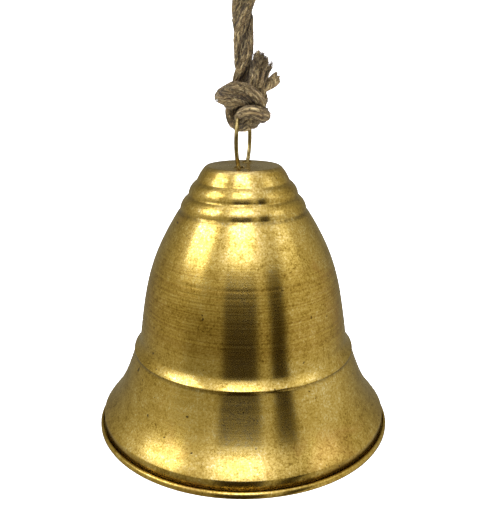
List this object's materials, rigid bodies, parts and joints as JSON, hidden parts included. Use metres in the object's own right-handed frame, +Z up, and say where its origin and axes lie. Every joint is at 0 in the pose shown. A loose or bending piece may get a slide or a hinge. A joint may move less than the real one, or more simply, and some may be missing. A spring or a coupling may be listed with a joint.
{
  "type": "hanging bell",
  "caption": "Large spun sheet-metal bell with a stepped shoulder, waist bead and rolled rim, hung by a wire ring and clapper from a knotted jute rope.",
  "frame": {"origin": "the point at the inside top of the hanging loop, where it bears on its hook", "axes": "+Z up, the bell hangs along -Z; X runs across the hanging loop, and -Y is the side the bell is usually seen from"},
  "size_m": [0.27, 0.27, 0.5253],
  "materials": {
    "antique_gold_sheet": "spun sheet with a mottled antique gold finish",
    "ring_wire": "drawn wire, aged brown",
    "clapper_wire": "dull drawn wire",
    "clapper_iron": "dark cast surface",
    "jute_rope": "loosely laid natural jute"
  },
  "bodies": {
    "rope": {"hanging_loop": "jute_rope", "loop_knot": "jute_rope", "loop_tail": "jute_rope", "rope_line": "jute_rope", "ring_knot": "jute_rope", "rope_tail": "jute_rope"},
    "ring": {"hanging_ring": "ring_wire"},
    "bell": {"bell_shell": "antique_gold_sheet"},
    "link": {"clapper_link": "clapper_wire"},
    "clapper": {"clapper_rod": "clapper_wire", "clapper_ball": "clapper_iron", "clapper_collar": "clapper_wire"}
  },
  "joints": [
    {"name": "ring_swing", "type": "hinge", "parent": "rope", "child": "ring", "pos_m": [0, 0, -0.218], "axis": [0.2079, 0.9781, 0], "range_deg": [-20, 20]},
    {"name": "bell_rock", "type": "hinge", "parent": "ring", "child": "bell", "pos_m": [0, 0, -0.274], "axis": [0.2079, 0.9781, 0], "range_deg": [-12, 12]},
    {"name": "link_swing", "type": "hinge", "parent": "bell", "child": "link", "pos_m": [0, 0, -0.274], "axis": [0.2079, 0.9781, 0], "range_deg": [-19, 19]},
    {"name": "clapper_swing", "type": "hinge", "parent": "link", "child": "clapper", "pos_m": [0, 0, -0.28615], "axis": [-0.9781, 0.2079, 0], "range_deg": [-19, 19]}
  ]
}
